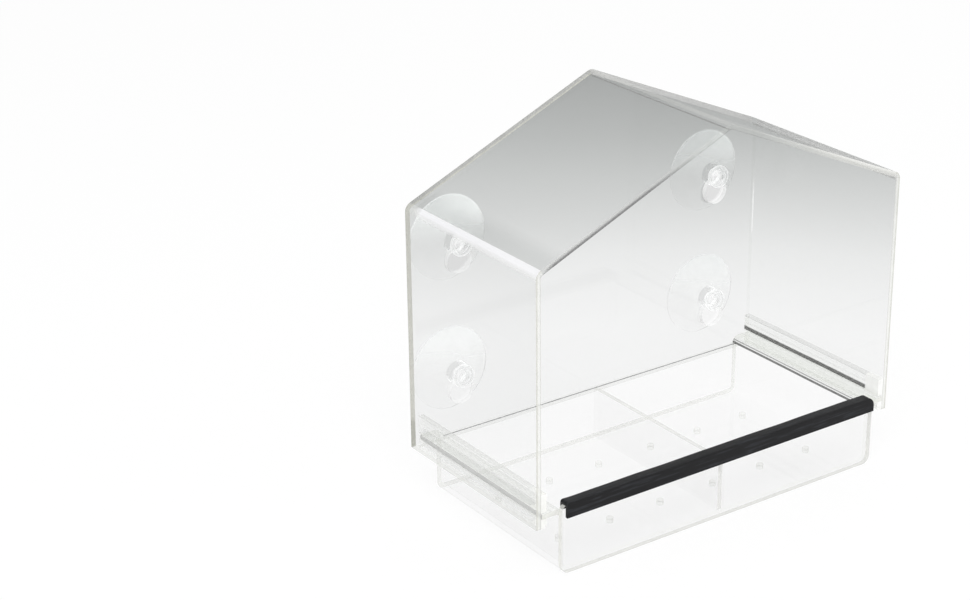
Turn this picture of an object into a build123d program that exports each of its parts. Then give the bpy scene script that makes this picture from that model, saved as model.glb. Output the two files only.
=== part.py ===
"""Window bird feeder made of clear acrylic sheet.

A heat-bent house with a keyholed back panel hangs on four suction cups, and a bent seed tray with
a rubber perch slides out of the rails at the foot of its walls. Sizes are in millimetres.
X is the width, the open front faces -Y and +Z is up. The origin is the middle of the ground
that the feeder covers, so the tray's underside lies at Z = 0.
"""
import os
from math import atan2, cos, tan

from build123d import *

os.makedirs("parts", exist_ok=True)

# Sheet
sheet = 3.0  # thickness of every clear plate
bend_radius = 2.2  # inside radius where the house is heat-bent

# House
house_width = 250.0  # over the outsides of the side walls
house_depth = 120.0  # front cut edge to back cut edge
wall_height = 145.0  # foot of a wall to the sharp corner that the eave bend rounds off
ridge_rise = 54.0  # sharp corner of the ridge above the sharp corners of the eaves

# Rails inside the foot of each wall
rail_width = 3.6  # how far the strips stand in from the wall
lower_rail_height = 5.5
upper_rail_height = 10.5
rail_edge_radius = 2.4  # bottom inner edge of the lower strip
flange_play_below = 0.3  # tray flange above the lower strip
flange_play_above = 0.7  # tray flange below the upper strip
flange_side_play = 0.4  # tray flange to the inside of the wall

# Seed tray
trough_side_gap = 7.4  # rails to the outsides of the trough
tray_height = 38.2  # underside to the top of the flanges
tray_foot_radius = 5.0  # outside radius of the trough's bottom bends
flange_bend_radius = 1.5  # inside radius where a flange turns outwards
tray_end_play = 1.3  # back of the tray to the back panel
inner_plate_drop = 4.0  # tops of the divider and the back plate below the top of the flanges
drain_diameter = 4.0
drain_columns = 3  # holes across one compartment, evenly shared
drain_rows = 2  # holes along one compartment, evenly shared

# Front plate and perch
front_plate_lead = 3.4  # front plate ahead of the house's front edge
front_plate_rise = 2.6  # top of the front plate above the flanges
front_plate_radius = 4.0  # top corners of the front plate
grip_wall = 1.8  # rubber thickness
grip_front_leg = 6.2  # below the front plate's top edge, outside
grip_back_leg = 3.6  # below the front plate's top edge, inside
grip_end_inset = 0.4  # ends of the rubber in from the ends of the front plate
grip_corner_radius = 4.6  # top corners of the rubber
grip_edge_radius = 0.7  # long top edges of the rubber
grip_side_play = 0.6  # inner leg to the sides of the trough

# Suction cups
cup_wall_inset = 33.0  # neck in from the outside of the wall
lower_cup_rise = 37.0  # neck above the foot of the walls
upper_cup_drop = 28.5  # neck below the sharp corner of the eave
cup_diameter = 50.0
cup_stand_off = 10.0  # back panel to the window
cup_rim_thickness = 0.9
cup_rim_width = 1.2  # flat ring that meets the window
cup_hollow_depth = 4.8
cup_hollow_flat = 24.0  # diameter of the hollow's flat middle
hub_diameter = 18.0
hub_thickness = 2.2
neck_diameter = 7.4
neck_play = 0.35  # neck to the sides of its slot
panel_play = 0.3  # hub and head to the faces of the back panel
head_diameter = 14.0
head_thickness = 3.2
head_bevel = 1.0
keyhole_travel = 9.5  # neck seat down to the middle of the round hole
keyhole_play = 1.0  # round hole to the head that passes through it

# Heights that follow from the sizes above
flange_underside = tray_height - sheet
house_base = flange_underside - flange_play_below - lower_rail_height
upper_rail_base = tray_height + flange_play_above
front_plate_height = tray_height + front_plate_rise
inner_plate_top = tray_height - inner_plate_drop
cup_heights = {
    "lower": house_base + lower_cup_rise,
    "upper": house_base + wall_height - upper_cup_drop,
}

# Depths, from the front to the window
window_to_perch = grip_wall + front_plate_lead + house_depth + cup_stand_off
perch_face = -window_to_perch / 2
plate_face = perch_face + grip_wall
house_face = plate_face + front_plate_lead
trough_front = plate_face + sheet
panel_back = house_face + house_depth
panel_face = panel_back - sheet
trough_back = panel_face - tray_end_play
back_plate_face = trough_back - sheet

# Half widths
wall_inside = house_width / 2 - sheet
flange_tip = wall_inside - flange_side_play
trough_side = wall_inside - rail_width - trough_side_gap
trough_inside = trough_side - sheet
cup_side = house_width / 2 - cup_wall_inset


def upright(y):
    """Vertical sketch plane at depth y, with X to the right and Z up. Extruding by a negative
    amount goes towards the window."""
    return Plane.XZ.offset(-y)


def house_outline(inset, radius):
    """Closed line round the house's five-sided front view, moved in by inset, its bends rounded."""
    slope = atan2(ridge_rise, house_width / 2)
    drop = inset / cos(slope)
    side = house_width / 2 - inset
    eave = house_base + wall_height + inset * tan(slope) - drop
    ridge = house_base + wall_height + ridge_rise - drop
    feet = (-side, house_base), (side, house_base)
    with BuildLine() as outline:
        FilletPolyline(feet[0], (-side, eave), (0, ridge), (side, eave), feet[1], radius=radius)
        Line(feet[1], feet[0])
    return outline.edges()


def save(piece, name):
    """Label a finished piece and write it under the same name."""
    piece.part.label = name
    export_step(piece.part, f"parts/{name}.step")


# House shell: one sheet with three bends
with BuildPart() as house_shell:
    with BuildSketch(upright(house_face)):
        make_face(house_outline(0, bend_radius + sheet))
        make_face(house_outline(sheet, bend_radius), mode=Mode.SUBTRACT)
    extrude(amount=-house_depth)
save(house_shell, "house_shell")

# Back panel: fills the house's outline between the walls
slot_radius = neck_diameter / 2 + neck_play
release_radius = head_diameter / 2 + keyhole_play
cup_places = [(side * cup_side, height) for side in (-1, 1) for height in cup_heights.values()]
with BuildPart() as back_panel:
    with BuildSketch(upright(panel_face)):
        make_face(house_outline(sheet, bend_radius))
        with Locations(*cup_places):
            Circle(slot_radius, mode=Mode.SUBTRACT)
            Rectangle(2 * slot_radius, keyhole_travel, align=(Align.CENTER, Align.MAX), mode=Mode.SUBTRACT)
        with Locations(*[(x, z - keyhole_travel) for x, z in cup_places]):
            Circle(release_radius, mode=Mode.SUBTRACT)
    extrude(amount=-sheet)
save(back_panel, "back_panel")

# Rails: an upper and a lower strip at each side, with the flange's groove between them
rail_length = panel_face - house_face
for side, side_name in ((-1, "left"), (1, "right")):
    rail_middle = side * (wall_inside - rail_width / 2)
    with BuildPart() as lower_rail:
        with BuildSketch(upright(house_face)) as strip:
            with Locations((rail_middle, house_base)):
                Rectangle(rail_width, lower_rail_height, align=(Align.CENTER, Align.MIN))
            bottom_corners = strip.vertices().group_by(Axis.Y)[0]
            fillet(min(bottom_corners, key=lambda corner: abs(corner.X)), rail_edge_radius)
        extrude(amount=-rail_length)
    save(lower_rail, f"rail_lower_{side_name}")
    with BuildPart() as upper_rail:
        with BuildSketch(upright(house_face)):
            with Locations((rail_middle, upper_rail_base)):
                Rectangle(rail_width, upper_rail_height, align=(Align.CENTER, Align.MIN))
        extrude(amount=-rail_length)
    save(upper_rail, f"rail_upper_{side_name}")

# Tray body: one sheet bent into a trough, with a flange turned outwards at each side
outer_radii = [flange_bend_radius, tray_foot_radius, tray_foot_radius, flange_bend_radius]
inner_radii = [
    flange_bend_radius + sheet,
    tray_foot_radius - sheet,
    tray_foot_radius - sheet,
    flange_bend_radius + sheet,
]
with BuildPart() as tray_body:
    with BuildSketch(upright(trough_front)):
        with BuildLine():
            FilletPolyline(
                (-flange_tip, flange_underside),
                (-trough_side, flange_underside),
                (-trough_side, 0),
                (trough_side, 0),
                (trough_side, flange_underside),
                (flange_tip, flange_underside),
                radius=outer_radii,
            )
            Line((flange_tip, flange_underside), (flange_tip, tray_height))
            FilletPolyline(
                (flange_tip, tray_height),
                (trough_inside, tray_height),
                (trough_inside, sheet),
                (-trough_inside, sheet),
                (-trough_inside, tray_height),
                (-flange_tip, tray_height),
                radius=inner_radii,
            )
            Line((-flange_tip, tray_height), (-flange_tip, flange_underside))
        make_face()
    extrude(amount=-(trough_back - trough_front))
    drain_pitch_x = (trough_inside - sheet / 2) / drain_columns
    drain_pitch_y = (back_plate_face - trough_front) / drain_rows
    compartment_middle = (trough_inside + sheet / 2) / 2
    floor_middle = (trough_front + back_plate_face) / 2
    with Locations((-compartment_middle, floor_middle, sheet), (compartment_middle, floor_middle, sheet)):
        with GridLocations(drain_pitch_x, drain_pitch_y, drain_columns, drain_rows):
            Hole(drain_diameter / 2, depth=sheet)
save(tray_body, "tray_body")

# Tray front plate: covers the trough's front end
with BuildPart() as tray_front_plate:
    with BuildSketch(upright(plate_face)) as plate:
        Rectangle(2 * trough_side, front_plate_height, align=(Align.CENTER, Align.MIN))
        fillet(plate.vertices().group_by(Axis.Y)[0], tray_foot_radius)
        fillet(plate.vertices().group_by(Axis.Y)[-1], front_plate_radius)
    extrude(amount=-sheet)
save(tray_front_plate, "tray_front_plate")

# Tray back plate: stands on the floor between the trough's sides
with BuildPart() as tray_back_plate:
    with BuildSketch(upright(back_plate_face)) as plate:
        with Locations((0, sheet)):
            Rectangle(2 * trough_inside, inner_plate_top - sheet, align=(Align.CENTER, Align.MIN))
        fillet(plate.vertices().group_by(Axis.Y)[0], tray_foot_radius - sheet)
    extrude(amount=-sheet)
save(tray_back_plate, "tray_back_plate")

# Tray divider: from the front plate to the back plate
with BuildPart() as tray_divider:
    with BuildSketch(upright(trough_front)):
        with Locations((0, sheet)):
            Rectangle(sheet, inner_plate_top - sheet, align=(Align.CENTER, Align.MIN))
    extrude(amount=-(back_plate_face - trough_front))
save(tray_divider, "tray_divider")

# Perch grip: a rubber channel over the front plate's top edge
grip_top = front_plate_height + grip_wall
grip_length = 2 * (trough_side - grip_end_inset)
grip_depth = sheet + 2 * grip_wall
with BuildPart() as perch_grip:
    with BuildSketch(upright(perch_face)) as outline:
        with Locations((0, grip_top)):
            Rectangle(grip_length, grip_front_leg + grip_wall, align=(Align.CENTER, Align.MAX))
        fillet(outline.vertices().group_by(Axis.Y)[-1], grip_corner_radius)
    extrude(amount=-grip_depth)
    fillet(perch_grip.edges().filter_by(Axis.X).group_by(Axis.Z)[-1], grip_edge_radius)
    with BuildSketch(upright(plate_face)) as channel:
        Rectangle(2 * trough_side, front_plate_height, align=(Align.CENTER, Align.MIN))
        fillet(channel.vertices().group_by(Axis.Y)[-1], front_plate_radius)
    extrude(amount=-sheet, mode=Mode.SUBTRACT)
    with BuildSketch(upright(trough_front)):
        Rectangle(2 * trough_side, front_plate_height - grip_back_leg, align=(Align.CENTER, Align.MIN))
        for side in (-1, 1):
            with Locations((side * (trough_inside - grip_side_play), 0)):
                trim_align = (Align.MIN if side > 0 else Align.MAX, Align.MIN)
                Rectangle(sheet + grip_side_play, grip_top, align=trim_align)
    extrude(amount=-grip_wall, mode=Mode.SUBTRACT)
save(perch_grip, "perch_grip")

# Suction cups: disc, hub, neck and mushroom head turned about the neck's line
head_back = -(sheet + panel_play)
head_face = head_back - head_thickness
head_radius = head_diameter / 2
neck_radius = neck_diameter / 2
hub_radius = hub_diameter / 2
hub_back = panel_play + hub_thickness
disc_radius = cup_diameter / 2
ring_inside = disc_radius - cup_rim_width
rim_front = cup_stand_off - cup_rim_thickness
hollow_top = cup_stand_off - cup_hollow_depth
for side, side_name in ((-1, "left"), (1, "right")):
    for level_name, height in cup_heights.items():
        cup_centre = (side * cup_side, panel_back, height)
        with BuildPart() as suction_cup:
            with BuildSketch(Plane(cup_centre)):
                with BuildLine():
                    Polyline(
                        (0, head_face),
                        (head_radius - head_bevel, head_face),
                        (head_radius, head_face + head_bevel),
                        (head_radius, head_back),
                        (neck_radius, head_back),
                        (neck_radius, panel_play),
                        (hub_radius, panel_play),
                        (hub_radius, hub_back),
                        (disc_radius, rim_front),
                        (disc_radius, cup_stand_off),
                        (ring_inside, cup_stand_off),
                        (cup_hollow_flat / 2, hollow_top),
                        (0, hollow_top),
                        close=True,
                    )
                make_face()
            revolve(axis=Axis(cup_centre, (0, 1, 0)))
        save(suction_cup, f"suction_cup_{level_name}_{side_name}")
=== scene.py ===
"""Looks of a window bird feeder made of clear acrylic sheet: see-through faces, pale cut edges,
soft clear suction cups and a rubber perch, on a white studio floor.

Lengths are in metres unless a name says otherwise. X is the width, the open front faces -Y and
+Z is up, as in the frame. Colours are linear, and a cover is the share that a surface hides of
what lies behind it.
"""

from math import cos, radians, sin, sqrt

import bmesh
import bpy
from mathutils import Matrix, Vector


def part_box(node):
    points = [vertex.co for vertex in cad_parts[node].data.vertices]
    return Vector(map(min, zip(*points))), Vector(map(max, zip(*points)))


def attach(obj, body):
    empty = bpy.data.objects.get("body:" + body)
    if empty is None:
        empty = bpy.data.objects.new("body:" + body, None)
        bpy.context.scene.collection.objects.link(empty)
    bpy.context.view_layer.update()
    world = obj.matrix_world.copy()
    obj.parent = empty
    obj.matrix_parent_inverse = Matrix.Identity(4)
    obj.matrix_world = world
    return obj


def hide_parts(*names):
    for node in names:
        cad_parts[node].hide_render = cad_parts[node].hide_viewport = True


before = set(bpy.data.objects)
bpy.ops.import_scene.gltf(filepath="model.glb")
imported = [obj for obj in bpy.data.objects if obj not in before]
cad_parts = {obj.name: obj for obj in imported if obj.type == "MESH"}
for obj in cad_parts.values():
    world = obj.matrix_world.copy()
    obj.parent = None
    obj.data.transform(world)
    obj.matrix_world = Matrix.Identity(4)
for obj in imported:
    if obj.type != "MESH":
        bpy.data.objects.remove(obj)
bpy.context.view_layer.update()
scene = bpy.context.scene
mm = 0.001

# Places taken from the frame
house_low, house_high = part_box("house_shell")
panel_low, panel_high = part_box("back_panel")
tray_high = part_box("tray_body")[1]
plate_low, plate_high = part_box("tray_front_plate")
back_plate_low, back_plate_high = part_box("tray_back_plate")
sheet = plate_high.y - plate_low.y

# The house's outline, whose ridge bend takes a little off the sharp corner
roof_climb = 0.432
roof_cosine = 1 / sqrt(1 + roof_climb**2)
ridge_bend_loss = 0.46 * mm
ridge = house_high.z + ridge_bend_loss
eave = ridge - roof_climb * house_high.x

# Camera, as fitted to the photograph
photo_pixels = 970
focal_pixels = 2221.1
sensor_mm = 36.0
azimuth = radians(-34.446)
elevation = radians(23.046)
roll = radians(0.716)
camera_place = Vector((-0.72318, -0.88962, 0.59518))

# Directions for measuring
to_right = (1.0, 0.0, 0.0)
to_back = (0.0, 1.0, 0.0)
to_top = (0.0, 0.0, 1.0)

# Colour sockets of a Mix node
mix_first = 6
mix_second = 7
mix_result = 2

# Noise. Most of a noise texture lies between these two values.
noise_low = 0.3
noise_high = 0.7
streak_scale = 170.0
streak_detail = 4.0
streak_levels = (0.93, 1.03)
unstretched = (1.0, 1.0, 1.0)
along_x = (0.06, 1.0, 1.0)
along_y = (1.0, 0.08, 1.0)

# Clear and frosted acrylic
acrylic_ior = 1.49
tint_red_loss = 0.05
tint_blue_loss = 0.025
clear_body = (0.975, 0.98, 0.97, 1.0)
frosted_roughness = 0.25
even_ends = [(0.0, 0.93), (1.0, 1.07)]
cloud_scale = 9.0
cloud_swing = 0.003

# Polish of clear sheet
ripple_scale = 22.0
ripple_detail = 1.0
ripple_strength = 0.03
ripple_depth = 1.0 * mm
smear_scale = 60.0
smear_detail = 3.0
smear_roughness = 0.05
grazing_power = 5.0
face_on_gloss = 0.04

# Roof slopes: the strip of painted shade above the eave, and the range over which a slope is seen along
# itself
strip_reach = 12 * mm
strip_full = 0.3
strip_gone = 0.5
grazing_starts = 0.62
grazing_full = 0.85

# Soft moulding, by how far its surface turns away
pvc_ior = 1.5
milk_roughness = 0.3
milk_scale = 90.0
milk_detail = 3.0
milk_wobble = 0.06
milk_stops = [(0.1, (0.96, 0.97, 0.97)), (0.55, (0.99, 0.99, 0.99))]
milk_stops += [(0.8, (0.97, 0.98, 0.98)), (0.95, (0.5, 0.51, 0.5))]
outline_starts = 0.85
outline_full = 0.95
lit_colour = (0.97, 0.98, 0.98, 1.0)
unlit_cover = 0.12
lit_cover = 1.22
soaked_share = 0.5

# Black rubber
rubber_stops = [(0.3, (0.002, 0.002, 0.003, 1.0)), (0.55, (0.006, 0.006, 0.007, 1.0))]
rubber_stops += [(0.62, (0.022, 0.024, 0.028, 1.0)), (0.7, (0.008, 0.008, 0.010, 1.0))]
rubber_streak_scale = 700.0
rubber_grain_scale = 1800.0
rubber_roughness = (0.38, 0.58)
rubber_specular = 0.2
rubber_bump = 0.2
rubber_bump_depth = 0.4 * mm


def grey(level, warmth=0.0):
    """A near-grey colour. Warmth takes a little blue away."""
    return (level, level, level * (1 - warmth), 1.0)


def sheet_tint(level):
    """Tint of clear sheet. The deeper it is, the more it leans to green."""
    depth = 1 - level
    return (level * (1 - tint_red_loss * depth), level, level * (1 - tint_blue_loss * depth), 1.0)


class Shader:
    """A node material while it is being built."""

    def __init__(self, name):
        self.material = bpy.data.materials.new(name)
        self.material.use_nodes = True
        self.tree = self.material.node_tree
        self.tree.nodes.clear()
        self.place = self.add("TexCoord").outputs["Object"]

    def add(self, kind, sockets=None, **settings):
        """Add a node. A socket takes a number, a colour or another node's output."""
        node = self.tree.nodes.new("ShaderNode" + kind)
        for setting, value in settings.items():
            setattr(node, setting, value)
        for socket, value in (sockets or {}).items():
            if isinstance(value, bpy.types.NodeSocket):
                self.tree.links.new(value, node.inputs[socket])
            else:
                node.inputs[socket].default_value = value
        return node

    def math(self, operation, first, second=0.0):
        return self.add("Math", {0: first, 1: second}, operation=operation).outputs[0]

    def mix(self, share, first, second):
        """Shader that is the second one for this share and the first one for the rest."""
        return self.add("MixShader", {0: share, 1: first, 2: second}).outputs[0]

    def noise(self, scale, detail=2.0, stretch=unstretched):
        """Noise in the object's own space, drawn out along an axis by a stretch below 1."""
        place = self.add("Mapping", {"Vector": self.place, "Scale": stretch}).outputs[0]
        return self.add("TexNoise", {"Vector": place, "Scale": scale, "Detail": detail}).outputs["Fac"]

    def along(self, direction):
        """Distance from the frame's origin along a direction."""
        sockets = {0: self.place, 1: direction}
        return self.add("VectorMath", sockets, operation="DOT_PRODUCT").outputs["Value"]

    def height(self):
        return self.along(to_top)

    def toward_back(self):
        return self.along(to_back)

    def off_middle(self):
        return self.math("ABSOLUTE", self.along(to_right))

    def depth(self):
        """Depth below the outer surface of the house's bent sheet."""
        below_wall = self.math("SUBTRACT", house_high.x, self.off_middle())
        climbed = self.math("MULTIPLY", self.off_middle(), roof_climb)
        roof_line = self.math("SUBTRACT", ridge, climbed)
        drop = self.math("SUBTRACT", roof_line, self.height())
        return self.math("MINIMUM", below_wall, self.math("MULTIPLY", drop, roof_cosine))

    def between(self, value, low, high, at_low=0.0, at_high=1.0):
        """Number that goes from at_low to at_high while the value goes from low to high."""
        ends = {"From Min": low, "From Max": high, "To Min": at_low, "To Max": at_high}
        return self.add("MapRange", {"Value": value, **ends}).outputs[0]

    def ramp(self, share, stops):
        """Colour and cover that follow a share from 0 to 1, from stops of place and colour."""
        node = self.add("ValToRGB", {"Fac": share})
        elements = node.color_ramp.elements
        while len(elements) < len(stops):
            elements.new(1.0)
        for element, (place, colour) in zip(elements, stops):
            element.position = place
            element.color = colour
        return node.outputs

    def clear(self, colour=clear_body):
        return self.add("BsdfTransparent", {"Color": colour}).outputs[0]

    def facing(self):
        """0 where the surface is seen face on, 1 where it turns away."""
        return self.add("LayerWeight", {"Blend": 0.5}).outputs["Facing"]

    def frosted(self, share, bands, streak=unstretched, wobble=0.04, glow=0.0):
        """Streaky body over what lies behind, from bands of place, level, warmth and cover."""
        streaks = self.noise(streak_scale, streak_detail, streak)
        uneven = self.math("ADD", share, self.between(streaks, noise_low, noise_high, -wobble, wobble))
        stops = [(place, (*grey(level, warmth)[:3], cover)) for place, level, warmth, cover in bands]
        colour, cover = self.ramp(uneven, stops)
        dull, bright = streak_levels
        grain = self.ramp(streaks, [(noise_low, grey(dull)), (noise_high, grey(bright))])[0]
        layers = {"Factor": 1.0, mix_first: colour, mix_second: grain}
        worn = self.add("Mix", layers, data_type="RGBA", blend_type="MULTIPLY").outputs[mix_result]
        sockets = {"Base Color": worn, "Roughness": frosted_roughness, "IOR": acrylic_ior}
        sockets |= {"Emission Color": colour, "Emission Strength": glow}
        return self.mix(cover, self.clear(), self.add("BsdfPrincipled", sockets).outputs[0])

    def polished(self, body, strength=0.5):
        """Body under the reflection of a polished sheet, which grows towards grazing angles."""
        ripple = self.noise(ripple_scale, ripple_detail)
        waves = {"Strength": ripple_strength, "Distance": ripple_depth, "Height": ripple}
        bump = self.add("Bump", waves).outputs[0]
        smears = self.noise(smear_scale, smear_detail)
        roughness = self.between(smears, noise_low, noise_high, 0.0, smear_roughness)
        gloss = self.add("BsdfGlossy", {"Roughness": roughness, "Normal": bump}).outputs[0]
        grazing = self.math("POWER", self.facing(), grazing_power)
        return self.mix(self.between(grazing, 0.0, 1.0, face_on_gloss * strength, strength), body, gloss)

    def milky(self, clear, covers, glow, lit=None):
        """Soft moulding that light soaks through, with a glow of painted light. It is milkier where its
        surface turns away and, if given, carries a painted highlight where the lit share is high."""
        facing = self.facing()
        clouds = self.noise(milk_scale, milk_detail)
        wobble = self.between(clouds, noise_low, noise_high, -milk_wobble, milk_wobble)
        face_on, aslant, outline = covers
        shares = (face_on, aslant, aslant, outline)
        stops = [(place, (*colour, share)) for (place, colour), share in zip(milk_stops, shares)]
        colour, cover = self.ramp(self.math("ADD", facing, wobble), stops)
        if lit is not None:
            layers = {"Factor": lit, mix_first: colour, mix_second: lit_colour}
            colour = self.add("Mix", layers, data_type="RGBA").outputs[mix_result]
            outlined = self.between(facing, outline_starts, outline_full)
            fuller = self.math("MAXIMUM", self.between(lit, 0.0, 1.0, unlit_cover, lit_cover), outlined)
            cover = self.math("MULTIPLY", cover, fuller)
        sockets = {"Base Color": colour, "Roughness": milk_roughness, "IOR": pvc_ior}
        sockets |= {"Emission Color": colour, "Emission Strength": glow}
        milk = self.add("BsdfPrincipled", sockets).outputs[0]
        soaked = self.add("BsdfTranslucent", {"Color": colour}).outputs[0]
        return self.mix(cover, clear, self.mix(soaked_share, milk, soaked))

    def finish(self, surface):
        self.add("OutputMaterial", {"Surface": surface})
        return self.material


def clear_face(name, tint, strength=0.5):
    """Face of a clear sheet. Tint is what the face lets through."""
    shader = Shader(name)
    stops = [(noise_low, grey(tint - cloud_swing)), (noise_high, grey(tint + cloud_swing))]
    colour = shader.ramp(shader.noise(cloud_scale), stops)[0]
    return shader.finish(shader.polished(shader.clear(colour), strength))


def shaded_face(name, stops, low, high, climb):
    """Face of a clear sheet with painted shade that darkens along a direction, from low to high."""
    shader = Shader(name)
    share = shader.between(shader.along(climb), low, high)
    colour = shader.ramp(share, [(place, sheet_tint(level)) for place, level in stops])[0]
    return shader.finish(shader.polished(shader.clear(colour)))


def roof_face(name, tint, strip_shade_tint, grazing_tint, strength):
    """Roof slope. It carries painted shade in a strip above the eave's bend, and is darker where it is seen
    along itself.
    """
    shader = Shader(name)
    share = shader.between(shader.height(), eave, eave + strip_reach)
    stops = [(0.0, strip_shade_tint), (strip_full, strip_shade_tint), (strip_gone, tint), (1.0, tint)]
    colour = shader.ramp(share, [(place, sheet_tint(level)) for place, level in stops])[0]
    along_itself = shader.between(shader.facing(), grazing_starts, grazing_full)
    body = shader.mix(along_itself, shader.clear(colour), shader.clear(sheet_tint(grazing_tint)))
    return shader.finish(shader.polished(body, strength))


def frosted_face(name, bands, measure=None, low=0.0, high=1.0, **looks):
    """Frosted surface whose bands follow a measure. Without one it is the same all over."""
    shader = Shader(name)
    share = shader.between(measure(shader), low, high) if measure else 0.5
    return shader.finish(shader.frosted(share, bands, **looks))


def even(level, warmth, cover):
    """Bands of a surface that is the same all over, but for its streaks."""
    return [(place, level * swing, warmth, cover) for place, swing in even_ends]


def slope_front(name, ridge_bands, eave_bands, spans):
    """Front cut edge of a slope. The eave's bands come in over each span of the width."""
    shader = Shader(name)
    depth = shader.between(shader.depth(), 0.0, sheet)
    at_ridge = shader.frosted(depth, ridge_bands)
    at_eave = shader.frosted(depth, eave_bands)
    share = 1.0
    for start, end in spans:
        share = shader.math("MULTIPLY", share, shader.between(shader.along(to_right), start, end))
    return shader.finish(shader.mix(share, at_ridge, at_eave))


def rubber(name):
    """Black extruded rubber with a faint sheen and streaks along its length."""
    shader = Shader(name)
    streaks = shader.noise(rubber_streak_scale, streak_detail, along_x)
    grain = shader.noise(rubber_grain_scale)
    colour = shader.ramp(streaks, rubber_stops)[0]
    roughness = shader.between(streaks, noise_low, noise_high, *rubber_roughness)
    pores = {"Strength": rubber_bump, "Distance": rubber_bump_depth, "Height": grain}
    bump = shader.add("Bump", pores).outputs[0]
    sockets = {"Base Color": colour, "Roughness": roughness, "Normal": bump}
    sockets |= {"Specular IOR Level": rubber_specular}
    return shader.finish(shader.add("BsdfPrincipled", sockets).outputs[0])


def soft_pvc(name, tint, covers, glow):
    """Clear soft moulding of a cup's head or hub."""
    shader = Shader(name)
    return shader.finish(shader.milky(shader.clear(grey(tint)), covers, glow))


def disc_face(name, centre, disc_tint, shade_patch_tint, glow):
    """Disc of a cup, with a glow and a painted highlight towards its top. Where the panel's release
    hole bares it, a patch of painted shade gives it the panel's grey.
    """
    shader = Shader(name)
    height = shader.math("SUBTRACT", shader.along(sheen_direction), centre.dot(Vector(sheen_direction)))
    ends = {"Value": height, "From Min": sheen_starts, "From Max": sheen_full}
    lit = shader.add("MapRange", ends, interpolation_type="SMOOTHSTEP").outputs[0]
    in_house = shader.add("TexCoord", object=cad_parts["back_panel"]).outputs["Object"]
    places = {0: in_house, 1: centre + patch_offset}
    offset = shader.add("VectorMath", places, operation="SUBTRACT").outputs[0]
    flat = shader.add("VectorMath", {0: offset, 1: across_panel}, operation="MULTIPLY").outputs[0]
    distance = shader.add("VectorMath", {0: flat}, operation="LENGTH").outputs["Value"]
    bared = shader.between(distance, patch_radius, patch_radius + patch_fade, 1.0, 0.0)
    milky = shader.milky(shader.clear(grey(disc_tint)), disc_covers, glow, lit)
    shade_patch = shader.milky(shader.clear(grey(shade_patch_tint)), patch_covers, glow)
    return shader.finish(shader.mix(bared, milky, shade_patch))


# How much of a face's normal lies along a direction that it roughly or exactly faces
roughly = 0.5
exactly = 0.999
slope_tolerance = 0.002

# Zones that tell faces apart by their middle. Further out than the outer zone's start lie the eaves
# and the trough's foot bends, and from a little below the eave upwards the panel's edge is glued.
slack = 1.0 * mm
gable_glue = 8 * mm
flange_zone = 9 * mm
outer_zone = 0.1


def pick_shell(normal, middle):
    on_left = middle.x < 0
    on_slope = middle.z > eave + slack
    if normal.y < -roughly:
        if not on_slope:
            return "front_wall"
        return "front_left" if on_left else "front_right"
    if normal.y > roughly:
        if on_slope:
            return "back_slope" if on_left else "far_slope"
        return "back_left" if on_left else "painted_shade"
    if abs(normal.x) > exactly:
        return "wall" if on_left or normal.x < 0 else "painted_shade"
    if normal.z < -exactly:
        return "foot"
    if abs(abs(normal.z) - roof_cosine) < slope_tolerance:
        return "roof_left" if on_left else "roof_right"
    if abs(middle.x) > outer_zone:
        return "eave_left" if on_left else "eave_right"
    return "ridge_top" if normal.z > 0 else "ridge_line"


def pick_panel(normal, middle):
    if normal.y > roughly:
        return "painted_shade"
    if normal.y < -roughly:
        return "clear"
    if normal.z < -exactly and middle.z < house_low.z + slack:
        return "foot"
    if panel_high.x - abs(middle.x) < slack:
        return "corner" if middle.x > 0 else "glued"
    return "glued" if middle.z > eave - gable_glue else "bore"


def pick_tray_body(normal, middle):
    if normal.y < -exactly:
        return "front"
    if normal.y > exactly:
        return "back"
    if abs(normal.x) > exactly and abs(middle.x) > tray_high.x - slack:
        return "left_tip" if middle.x < 0 else "right_tip"
    if middle.z > tray_high.z - flange_zone and abs(normal.x) < exactly:
        if abs(normal.z) > exactly:
            return "flange"
        if normal.x * middle.x > 0:
            return "clear"
        return "left_bend" if middle.x < 0 else "right_bend"
    if middle.z < sheet and abs(normal.z) < roughly and abs(middle.x) < outer_zone:
        return "bore"
    return "clear"


def pick_front_plate(normal, middle):
    return "clear" if abs(normal.y) > roughly else "edge"


def pick_back_plate(normal, middle):
    if abs(normal.y) > roughly:
        return "clear"
    return "top" if normal.z > exactly else "glued"


def pick_divider(normal, middle):
    if abs(normal.x) > roughly:
        return "clear"
    return "glued" if normal.z < -roughly or normal.y > roughly else "edge"


def pick_rail(normal, middle):
    if abs(normal.y) > roughly:
        return "end"
    return "glued" if normal.x * middle.x > 0 and abs(normal.x) > exactly else "face"


def dress(node_name, pick, **materials):
    """Give a CAD node its materials. Pick names one from a face's normal and middle."""
    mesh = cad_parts[node_name].data
    mesh.materials.clear()
    names = list(materials)
    for material in materials.values():
        mesh.materials.append(material)
    for face in mesh.polygons:
        face.material_index = names.index(pick(face.normal, face.center))


# Clear faces, with painted shade that darkens them towards the top: strongly on the back panel's
# back face and the right wall's outside, faintly on the other wall faces
painted_shade_stops = [(0.0, 0.934), (0.15, 0.897), (0.3, 0.84), (0.45, 0.742)]
painted_shade_stops += [(0.6, 0.645), (0.75, 0.533), (1.0, 0.395)]
painted_shade = shaded_face("clear_painted_shade", painted_shade_stops, low=0.083, high=0.244, climb=(0.2, 0.25, 1.0))
wall_stops = [(0.0, 0.992), (0.5, 0.985), (1.0, 0.968)]
wall = shaded_face("clear_wall", wall_stops, low=0.06, high=0.17, climb=to_top)
roof_tint = 0.952
roof_left = roof_face("clear_roof_left", roof_tint, strip_shade_tint=0.885, grazing_tint=0.78, strength=0.4)
roof_right = roof_face("clear_roof_right", roof_tint, strip_shade_tint=0.84, grazing_tint=0.94, strength=0.15)
clear = clear_face("clear", tint=0.99)
glued = clear_face("glued", tint=0.985, strength=0.0)

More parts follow.
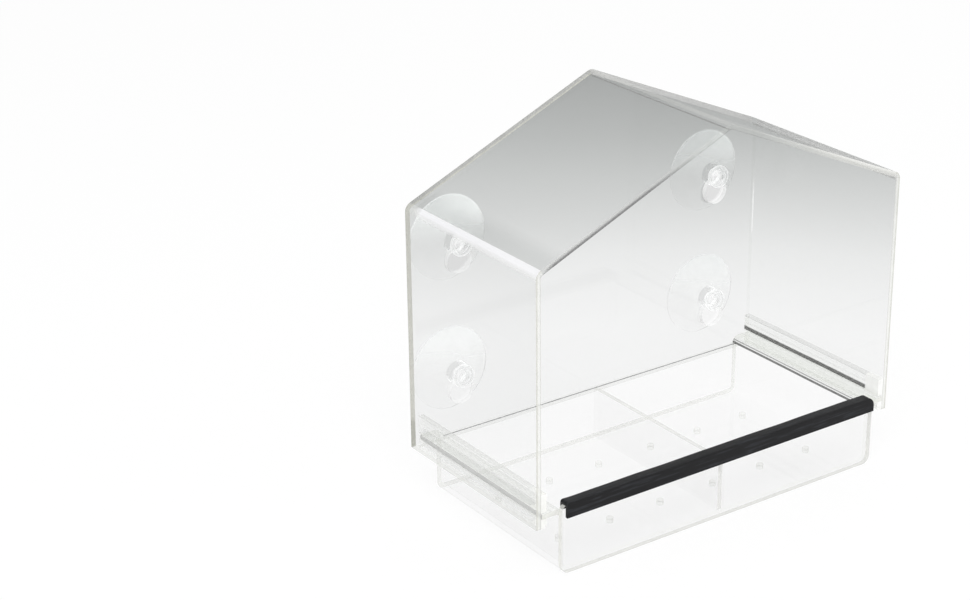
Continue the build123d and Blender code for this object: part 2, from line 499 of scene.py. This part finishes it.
# Cut edges and bends of the house, from bands of place, level, warmth and cover
upright_bands = [(0.0, 0.60, 0.09, 0.85), (0.3, 0.66, 0.07, 0.8), (0.45, 0.85, 0.04, 0.6)]
upright_bands += [(0.75, 0.85, 0.03, 0.5), (0.9, 0.6, 0.05, 0.6), (1.0, 0.6, 0.05, 0.6)]
lit_bands = [(0.0, 0.5, 0.05, 0.4), (0.12, 0.75, 0.03, 0.3), (0.3, 0.6, 0.03, 0.1)]
lit_bands += [(0.75, 0.6, 0.03, 0.1), (0.88, 0.28, 0.0, 0.4), (1.0, 0.28, 0.0, 0.4)]
edge_shade_bands = [(0.1, 0.55, 0.02, 0.4), (0.4, 0.40, 0.0, 0.8)]
edge_shade_bands += [(0.62, 0.20, 0.0, 0.9), (0.9, 0.16, 0.0, 0.9)]
pale_bands = [(0.0, 0.85, 0.03, 0.85), (0.3, 0.80, 0.04, 0.75)]
pale_bands += [(0.6, 0.7, 0.04, 0.6), (1.0, 0.7, 0.04, 0.6)]
back_bands = [(0.0, 0.36, 0.06, 0.9), (0.15, 0.44, 0.04, 0.88), (0.6, 0.45, 0.03, 0.85)]
back_bands += [(0.8, 0.60, 0.14, 0.85), (1.0, 0.54, 0.12, 0.8)]
# The left eave's pale band is a painted highlight of the bend.
eave_bands = [(0.0, 0.80, -0.01, 0.3), (0.3, 0.85, -0.01, 0.6), (0.6, 0.89, -0.02, 0.9)]
eave_bands += [(1.0, 0.88, -0.02, 0.85)]
upright_edge = frosted_face("edge_upright", upright_bands, Shader.depth, 0.0, sheet)
# Spans over which a slope's front edge takes its eave bands: painted shade on the left slope, a pale tone
# on the right.
left_spans = [(-0.122, -0.114), (-0.02, -0.055)]
right_spans = [(0.02, 0.085)]
left_slope_edge = slope_front("edge_slope_left", lit_bands, edge_shade_bands, left_spans)
right_slope_edge = slope_front("edge_slope_right", lit_bands, pale_bands, right_spans)
back_slope_edge = frosted_face("edge_back_slope", back_bands, Shader.depth, 0.0, sheet)
foot_bands = [(0.0, 0.42, 0.12, 0.9), (0.1, 0.42, 0.12, 0.9)]
foot_bands += [(0.13, 0.55, 0.1, 0.85), (1.0, 0.5, 0.1, 0.9)]
back_edge = frosted_face("edge_back", foot_bands, Shader.height, house_low.z, eave)
foot_edge = frosted_face("edge_foot", even(level=0.8, warmth=0.03, cover=0.45), streak=along_y)
faint_edge = frosted_face("edge_faint", even(level=0.85, warmth=0.03, cover=0.3))
far_edge = frosted_face("edge_far", even(level=0.46, warmth=0.02, cover=0.8))
eave_bend = (eave - 3.4 * mm, eave + 1.4 * mm)
eave_fade = (house_high.y - 14 * mm, house_high.y - 7 * mm)


def eave_face(name):
    """Bend at the eave. Its pale band, a painted highlight, fades out before the back edge."""
    shader = Shader(name)
    share = shader.between(shader.height(), *eave_bend)
    highlight_band = shader.frosted(share, eave_bands, along_y)
    faded = shader.frosted(0.5, even(level=0.75, warmth=0.03, cover=0.15))
    back_part = shader.between(shader.toward_back(), *eave_fade)
    return shader.finish(shader.mix(back_part, highlight_band, faded))


ridge_top = frosted_face("bend_ridge_top", even(level=0.6, warmth=0.03, cover=0.3), streak=along_y)
ridge_line = frosted_face("bend_ridge_line", even(level=0.2, warmth=0.03, cover=0.65), streak=along_y)
eave_left = eave_face("bend_eave_left_highlight")
# The right eave's bend is painted a darker grey.
eave_right = frosted_face("bend_eave_right", even(level=0.56, warmth=0.01, cover=0.75))
shell_looks = dict(front_wall=upright_edge, front_left=left_slope_edge, front_right=right_slope_edge)
shell_looks |= dict(back_slope=back_slope_edge, far_slope=far_edge, back_left=back_edge, foot=foot_edge)
shell_looks |= dict(wall=wall, painted_shade=painted_shade, roof_left=roof_left, roof_right=roof_right)
shell_looks |= dict(eave_left=eave_left, eave_right=eave_right)
shell_looks |= dict(ridge_top=ridge_top, ridge_line=ridge_line)
dress("house_shell", pick_shell, **shell_looks)

# Back panel, with a glint in the glued corner
glint_bands = [(0.0, 1.0, 0.0, 0.0), (0.2, 1.0, 0.0, 0.4), (0.6, 1.0, 0.0, 0.7), (1.0, 1.0, 0.0, 0.0)]
glint_heights = (0.098, 0.142)
glint_fade = (panel_low.y + 0.8 * mm, panel_low.y + 1.4 * mm)


def corner_face(name):
    """Glued corner with a thin upright glint."""
    shader = Shader(name)
    glint = shader.frosted(shader.between(shader.height(), *glint_heights), glint_bands, glow=0.6)
    beyond = shader.between(shader.toward_back(), *glint_fade)
    return shader.finish(shader.mix(beyond, glint, shader.clear()))


corner = corner_face("glued_corner")
# The release holes' bores are painted white, a painted highlight of the hole's edge.
bore = frosted_face("keyhole_bore_highlight", even(level=1.0, warmth=0.0, cover=0.85))
panel_looks = dict(painted_shade=painted_shade, clear=clear, foot=faint_edge, corner=corner, glued=glued, bore=bore)
dress("back_panel", pick_panel, **panel_looks)

# Tray
edge = frosted_face("edge_tray", even(level=0.78, warmth=0.05, cover=0.6))
divider_edge = frosted_face("edge_divider", even(level=0.78, warmth=0.03, cover=0.55))
end_bands = [(0.0, 0.8, 0.05, 0.08), (0.49, 0.8, 0.05, 0.08)]
end_bands += [(0.51, 0.75, 0.06, 0.6), (1.0, 0.8, 0.06, 0.6)]
flange_reach = tray_high.x - plate_high.x
inner_end = plate_high.x - flange_reach
body_front = frosted_face("edge_trough", end_bands, Shader.off_middle, inner_end, tray_high.x)
flange_face = frosted_face("flange_face", even(level=0.97, warmth=0.02, cover=0.12), streak=along_y)
# The right flange bend carries painted lines of shade along the groove.
bend_shade_bands = [(0.0, 0.9, 0.0, 0.05), (0.14, 0.9, 0.0, 0.05), (0.2, 0.11, 0.02, 0.9)]
bend_shade_bands += [(0.42, 0.11, 0.02, 0.9), (0.48, 0.9, 0.0, 0.08), (0.58, 0.2, 0.02, 0.7)]
bend_shade_bands += [(0.65, 0.2, 0.02, 0.7), (0.7, 0.9, 0.0, 0.08), (0.78, 0.6, 0.0, 0.3)]
bend_shade_bands += [(0.85, 0.95, 0.0, 0.08), (1.0, 0.95, 0.0, 0.08)]
bend_ends = (tray_high.z - 5.2 * mm, tray_high.z)
right_bend = frosted_face("flange_bend_painted_shade", bend_shade_bands, Shader.height, *bend_ends, streak=along_y, wobble=0.02)
left_bend = frosted_face("flange_bend_left", even(level=0.8, warmth=0.0, cover=0.15), streak=along_y)
# The left flange tip carries painted shade; the right one is pale.
left_tip = frosted_face("flange_tip_left_shade", even(level=0.52, warmth=0.01, cover=0.75), streak=along_y)
right_tip = frosted_face("flange_tip_right", even(level=0.95, warmth=0.0, cover=0.2), streak=along_y)
drain_bore = frosted_face("drain_bore", even(level=0.85, warmth=0.02, cover=0.25))
body_back = frosted_face("edge_tray_back", even(level=0.85, warmth=0.04, cover=0.35))
tray_looks = dict(clear=clear, front=body_front, back=body_back, flange=flange_face, bore=drain_bore)
tray_looks |= dict(left_tip=left_tip, right_tip=right_tip, left_bend=left_bend, right_bend=right_bend)
dress("tray_body", pick_tray_body, **tray_looks)
dress("tray_front_plate", pick_front_plate, clear=clear, edge=edge)
dress("tray_divider", pick_divider, clear=clear, edge=divider_edge, glued=glued)
line_bands = [(0.0, 0.16, 0.0, 0.8), (0.3, 0.16, 0.0, 0.8), (0.45, 0.9, 0.0, 0.1), (1.0, 0.9, 0.0, 0.1)]
plate_ends = (back_plate_low.y, back_plate_high.y)
plate_line = frosted_face("edge_back_plate", line_bands, Shader.toward_back, *plate_ends)
dress("tray_back_plate", pick_back_plate, clear=clear, top=plate_line, glued=glued)

# Rails, whose faces carry painted lines of shade and light where the groove and the strip lie behind them
rail_low, rail_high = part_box("rail_upper_right")
lower_rail_low, lower_rail_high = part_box("rail_lower_right")
upper_right_bands = [(0.0, 0.97, 0.0, 0.1), (0.09, 0.97, 0.0, 0.12), (0.12, 0.12, 0.04, 0.95)]
upper_right_bands += [(0.34, 0.15, 0.04, 0.93), (0.38, 1.0, 0.0, 0.6), (0.44, 0.97, 0.0, 0.12)]
upper_right_bands += [(0.60, 0.75, 0.02, 0.25), (0.70, 0.97, 0.0, 0.12), (0.90, 0.95, 0.0, 0.12)]
upper_right_bands += [(0.95, 0.5, 0.0, 0.45), (1.0, 0.55, 0.0, 0.3)]
upper_left_bands = [(0.0, 0.7, 0.01, 0.35), (0.12, 0.7, 0.01, 0.3), (0.2, 1.0, 0.0, 0.5)]
upper_left_bands += [(0.27, 0.97, 0.0, 0.15), (0.33, 0.75, 0.01, 0.25)]
upper_left_bands += [(0.45, 0.97, 0.0, 0.2), (0.6, 0.8, 0.01, 0.25), (0.8, 0.97, 0.0, 0.2)]
upper_left_bands += [(0.95, 0.75, 0.01, 0.3)]
lower_bands = [(0.0, 0.85, 0.0, 0.2), (0.3, 1.0, 0.0, 0.7), (0.5, 0.6, 0.0, 0.4), (0.75, 0.6, 0.0, 0.45)]
lower_bands += [(0.9, 1.0, 0.0, 0.3)]
rail_end = frosted_face("rail_end", even(level=1.0, warmth=0.02, cover=0.6))
block_fade = (house_low.y + 10 * mm, house_low.y + 11 * mm)


def rail_face(name, bands, low, high):
    """Inner face of a rail. Its front end is a pale block of painted light, where the end shines through.
    """
    shader = Shader(name)
    lined = shader.frosted(shader.between(shader.height(), low, high), bands, along_y, wobble=0.02)
    painted_light_block = shader.frosted(0.5, even(level=1.0, warmth=0.03, cover=0.5))
    front_part = shader.between(shader.toward_back(), *block_fade, 1.0, 0.0)
    return shader.finish(shader.mix(front_part, lined, painted_light_block))


upper_ends = (rail_low.z, rail_high.z)
lower_ends = (lower_rail_low.z, lower_rail_high.z)
plain_bands = even(level=0.95, warmth=0.02, cover=0.15)
rail_looks = {
    "upper_left": rail_face("rail_upper_left", upper_left_bands, *upper_ends),
    "upper_right": rail_face("rail_upper_right", upper_right_bands, *upper_ends),
    "lower_left": rail_face("rail_lower_left", lower_bands, *lower_ends),
    "lower_right": rail_face("rail_lower_right", plain_bands, *lower_ends),
}
for rail, face in rail_looks.items():
    dress(f"rail_{rail}", pick_rail, face=face, end=rail_end, glued=glued)


def new_piece(name, grid, materials):
    """Object from a finished bmesh, in smooth shading."""
    mesh = bpy.data.meshes.new(name)
    bmesh.ops.recalc_face_normals(grid, faces=grid.faces)
    for face in grid.faces:
        face.smooth = True
    grid.to_mesh(mesh)
    grid.free()
    for material in materials:
        mesh.materials.append(material)
    piece = bpy.data.objects.new(name, mesh)
    scene.collection.objects.link(piece)
    return piece


def curve(start, bend, end, steps):
    """Points of a curve from start to end that leans towards bend, without its start."""
    points = []
    for step in range(1, steps + 1):
        s = step / steps
        shares = ((1 - s) ** 2, 2 * s * (1 - s), s * s)
        pairs = zip(start, bend, end)
        points.append(tuple(shares[0] * a + shares[1] * b + shares[2] * c for a, b, c in pairs))
    return points


# Suction cups
head_radius = 6.8 * mm
head_thickness = 3.2 * mm
head_front_round = 1.3 * mm
head_back_round = 0.6 * mm
neck_radius = 3.7 * mm
neck_length = 3.6 * mm
neck_round = 0.5 * mm
hub_radius = 6.8 * mm
hub_thickness = 2.2 * mm
hub_bevel = 0.6 * mm
disc_lean = 1.0 * mm
rim_thickness = 0.9 * mm
rim_width = 1.2 * mm
hollow_depth = 4.8 * mm
cup_steps = 72
hub_slack = 0.1 * mm
merge_distance = 0.01 * mm
rank_base = 4096  # more than a cup has points

# Face of a cup's head from its middle outwards, as radius and depth in millimetres. It has a dimple
# and a groove.
head_face = [(0.0, 0.5), (1.2, 0.5), (1.7, 0.0), (4.1, 0.0), (4.4, 0.6), (4.9, 0.6), (5.2, 0.0), (5.8, 0.0)]

# Looks of the cups. Covers are for a surface seen face on, aslant and along itself. The glow is
# painted light that lifts the moulding above what lies behind it.
cup_head = soft_pvc("soft_pvc_head", tint=0.93, covers=(0.1, 0.7, 0.8), glow=0.3)
cup_hub = soft_pvc("soft_pvc_hub", tint=0.84, covers=(0.05, 0.95, 0.8), glow=0.7)
disc_covers = (0.28, 0.5, 0.8)
patch_covers = (0.04, 0.06, 0.1)
sheen_direction = (0.1, 0.0, 0.995)
sheen_starts = -6 * mm
sheen_full = 22 * mm
across_panel = (1.0, 0.0, 1.0)
# Patch of painted shade on each disc, where the release hole bares it
patch_offset = Vector((4.8 * mm, 0.0, -12.4 * mm))
patch_radius = 8.2 * mm
patch_fade = 1.0 * mm


def cup_profile(disc_radius, length):
    """Half section of a cup as radius and distance from the head's face."""
    hub_front = head_thickness + neck_length
    hub_back = hub_front + hub_thickness
    rim_front = length - rim_thickness
    ring = disc_radius - rim_width
    head = [(radius * mm, depth * mm) for radius, depth in head_face]
    head += curve(head[-1], (head_radius, 0.0), (head_radius, head_front_round), steps=5)
    head += [(head_radius, head_thickness - head_back_round)]
    back_of_head = (head_radius - head_back_round, head_thickness)
    head += curve(head[-1], (head_radius, head_thickness), back_of_head, steps=4)
    neck = [(neck_radius + neck_round, head_thickness), (neck_radius, head_thickness + neck_round)]
    neck += [(neck_radius, hub_front - neck_round), (neck_radius + neck_round, hub_front)]
    hub = [(hub_radius - hub_bevel, hub_front), (hub_radius, hub_front + hub_bevel)]
    hub += [(hub_radius, hub_back)]
    middle = ((hub_radius + disc_radius) / 2, (hub_back + rim_front) / 2 - disc_lean)
    disc = curve((hub_radius, hub_back), middle, (disc_radius, rim_front), steps=12)
    rim = [(disc_radius, length), (ring, length)]
    hollow_top = length - hollow_depth
    hollow = curve((ring, length), (ring / 2, hollow_top), (0.0, hollow_top), steps=14)
    return head + neck + hub + disc + rim + hollow


def face_rank(face):
    """Number of a face's own, made from its points, so that faces sort the same way in each run."""
    rank = 0
    for index in sorted(point.index for point in face.verts):
        rank = rank * rank_base + index
    return rank


def make_cup(node_name, disc_tint, shade_patch_tint, glow):
    """Cup turned about its own axis, in place of the solid."""
    low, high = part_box(node_name)
    centre = (low + high) / 2
    cup_disc = disc_face(node_name + "_disc", centre, disc_tint, shade_patch_tint, glow)
    grid = bmesh.new()
    points = [
        grid.verts.new((centre.x + radius, low.y + depth, centre.z))
        for radius, depth in cup_profile((high.x - low.x) / 2, high.y - low.y)
    ]
    lines = [grid.edges.new(pair) for pair in zip(points, points[1:])]
    turn = dict(cent=(centre.x, low.y, centre.z), axis=to_back, angle=radians(360), steps=cup_steps)
    bmesh.ops.spin(grid, geom=points + lines, **turn)
    bmesh.ops.remove_doubles(grid, verts=grid.verts, dist=merge_distance)
    grid.verts.index_update()
    grid.faces.sort(key=face_rank)
    cup = new_piece(node_name + "_look", grid, [cup_head, cup_hub, cup_disc])
    hub_front = low.y + head_thickness + neck_length
    for face in cup.data.polygons:
        beyond = face.center.y - hub_front
        face.material_index = 0 if beyond < -hub_slack else 1 if beyond < hub_thickness else 2
    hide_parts(node_name)
    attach(cup, node_name.replace("suction_cup", "cup"))


# The upper discs glow more: painted light that lifts them above the panel's painted shade.
for side in ("left", "right"):
    make_cup(f"suction_cup_upper_{side}", disc_tint=0.965, shade_patch_tint=0.83, glow=1.3)
    make_cup(f"suction_cup_lower_{side}", disc_tint=0.992, shade_patch_tint=0.96, glow=0.35)

# Perch: a rubber channel over the front plate's top edge
grip_wall = 1.8 * mm
front_overhang = 0.8 * mm
back_leg = 3.6 * mm
left_inset = 2.0 * mm
edge_round = 0.7 * mm
corner_radius = 4.6 * mm
left_squareness = 0.25
thinnest_share = 0.6
sag_depth = 0.12 * mm
sag_waves = (37, 11)
perch_steps = 110
sharp_angle = radians(40)


def corner_drop(into, radius):
    """How far a rounded corner has dropped this far into it."""
    return radius - sqrt(max(0.0, radius**2 - max(0.0, into) ** 2))


def make_perch():
    """Perch strip in place of the solid, with a slightly uneven top and rounded ends."""
    low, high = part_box("perch_grip")
    plate_top = high.z - grip_wall
    foot = low.z - front_overhang
    low_x = low.x + left_inset
    small_radius = left_squareness * corner_radius
    grid = bmesh.new()
    rings = []
    for step in range(perch_steps + 1):
        share = step / perch_steps
        # Stations crowd towards both ends, where the corners turn.
        x = low_x + (high.x - low_x) * (3 * share**2 - 2 * share**3)
        sag = sag_depth * sin(sag_waves[0] * share) * sin(sag_waves[1] * share + 1)
        drop = corner_drop(x - (high.x - corner_radius), corner_radius)
        top = high.z - drop - corner_drop(low_x + small_radius - x, small_radius) + sag
        inside = min(plate_top, top - thinnest_share * grip_wall)
        outline = [(low.y, foot), (low.y, top - edge_round)]
        outline += curve((low.y, top - edge_round), (low.y, top), (low.y + edge_round, top), steps=4)
        outline += [(high.y - edge_round, top)]
        outline += curve((high.y - edge_round, top), (high.y, top), (high.y, top - edge_round), steps=4)
        outline += [(high.y, plate_top - back_leg), (high.y - grip_wall, plate_top - back_leg)]
        outline += [(high.y - grip_wall, inside), (low.y + grip_wall, inside), (low.y + grip_wall, foot)]
        rings.append([grid.verts.new((x, y, z)) for y, z in outline])
    for ring, after in zip(rings, rings[1:]):
        for index in range(len(ring)):
            follow = (index + 1) % len(ring)
            grid.faces.new((ring[index], after[index], after[follow], ring[follow]))
    grid.faces.new(rings[0])
    grid.faces.new(rings[-1][::-1])
    perch = new_piece("perch_look", grid, [rubber("black_rubber_extrusion")])
    perch.data.set_sharp_from_angle(angle=sharp_angle)
    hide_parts("perch_grip")
    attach(perch, "tray")


make_perch()

# Floor and light
floor_levels = (0.97, 0.985)
floor_scale = 3.0
floor_white_share = 0.82
floor_cells = 8
floor_reach = 6.0
floor_drop = 0.3 * mm
world_light = 0.72
aim = (0.0, 0.0, 0.1)


def seen_directly(shader):
    """1 for a ray from the camera, from gloss or through glass, otherwise 0."""
    path = shader.add("LightPath").outputs
    straight = shader.math("MAXIMUM", path["Is Camera Ray"], path["Is Glossy Ray"])
    return shader.math("MAXIMUM", straight, path["Is Transmission Ray"])


def make_floor():
    """Floor that takes soft shadows and is otherwise as white as the world."""
    shader = Shader("studio_floor")
    dull, bright = floor_levels
    colour = shader.ramp(shader.noise(floor_scale), [(0.0, grey(dull)), (1.0, grey(bright))])[0]
    lit = shader.add("BsdfDiffuse", {"Color": colour}).outputs[0]
    white = shader.add("Emission", {"Color": grey(1.0), "Strength": 1.0}).outputs[0]
    share = shader.math("MULTIPLY", seen_directly(shader), floor_white_share)
    material = shader.finish(shader.mix(share, lit, white))
    grid = bmesh.new()
    bmesh.ops.create_grid(grid, x_segments=floor_cells, y_segments=floor_cells, size=floor_reach)
    bmesh.ops.translate(grid, verts=grid.verts, vec=(0.0, 0.0, -floor_drop))
    new_piece("studio_floor", grid, [material])


def make_world():
    """White surroundings that light the scene a little less than they look."""
    world = bpy.data.worlds.new("studio")
    scene.world = world
    world.use_nodes = True
    nodes = world.node_tree.nodes
    nodes.clear()
    link = world.node_tree.links.new
    path = nodes.new("ShaderNodeLightPath").outputs
    straight = nodes.new("ShaderNodeMath")
    straight.operation = "MAXIMUM"
    link(path["Is Camera Ray"], straight.inputs[0])
    link(path["Is Glossy Ray"], straight.inputs[1])
    seen = nodes.new("ShaderNodeMath")
    seen.operation = "MAXIMUM"
    link(straight.outputs[0], seen.inputs[0])
    link(path["Is Transmission Ray"], seen.inputs[1])
    strength = nodes.new("ShaderNodeMapRange")
    link(seen.outputs[0], strength.inputs["Value"])
    strength.inputs["To Min"].default_value = world_light
    strength.inputs["To Max"].default_value = 1.0
    background = nodes.new("ShaderNodeBackground")
    background.inputs["Color"].default_value = (1.0, 1.0, 1.0, 1.0)
    link(strength.outputs[0], background.inputs["Strength"])
    link(background.outputs[0], nodes.new("ShaderNodeOutputWorld").inputs["Surface"])


def add_softbox(name, place, size, power):
    """Rectangular light that points at the middle of the house."""
    light = bpy.data.lights.new(name, "AREA")
    light.shape = "RECTANGLE"
    light.size, light.size_y = size
    light.energy = power
    box = bpy.data.objects.new(name, light)
    scene.collection.objects.link(box)
    box.location = place
    box.rotation_euler = (Vector(aim) - Vector(place)).to_track_quat("-Z", "Y").to_euler()


def make_camera():
    """Camera at the photograph's viewing angle."""
    back = Vector((sin(azimuth) * cos(elevation), -cos(azimuth) * cos(elevation), sin(elevation)))
    right = (-back).cross(Vector(to_top)).normalized()
    up = right.cross(-back)
    turned_right = right * cos(roll) - up * sin(roll)
    turned_up = right * sin(roll) + up * cos(roll)
    data = bpy.data.cameras.new("camera")
    data.sensor_width = sensor_mm
    data.lens = focal_pixels * sensor_mm / photo_pixels
    camera = bpy.data.objects.new("camera", data)
    scene.collection.objects.link(camera)
    turn = Matrix((turned_right, turned_up, back)).transposed().to_4x4()
    camera.matrix_world = Matrix.Translation(camera_place) @ turn
    scene.camera = camera


make_floor()
make_world()
add_softbox("key_softbox", place=(-1.4, -1.6, 2.6), size=(2.0, 1.6), power=44.0)
add_softbox("fill_softbox", place=(2.2, -1.4, 1.6), size=(1.6, 1.6), power=14.0)
make_camera()
scene.view_settings.view_transform = "Standard"
scene.cycles.transparent_max_bounces = 64
scene.cycles.max_bounces = 16
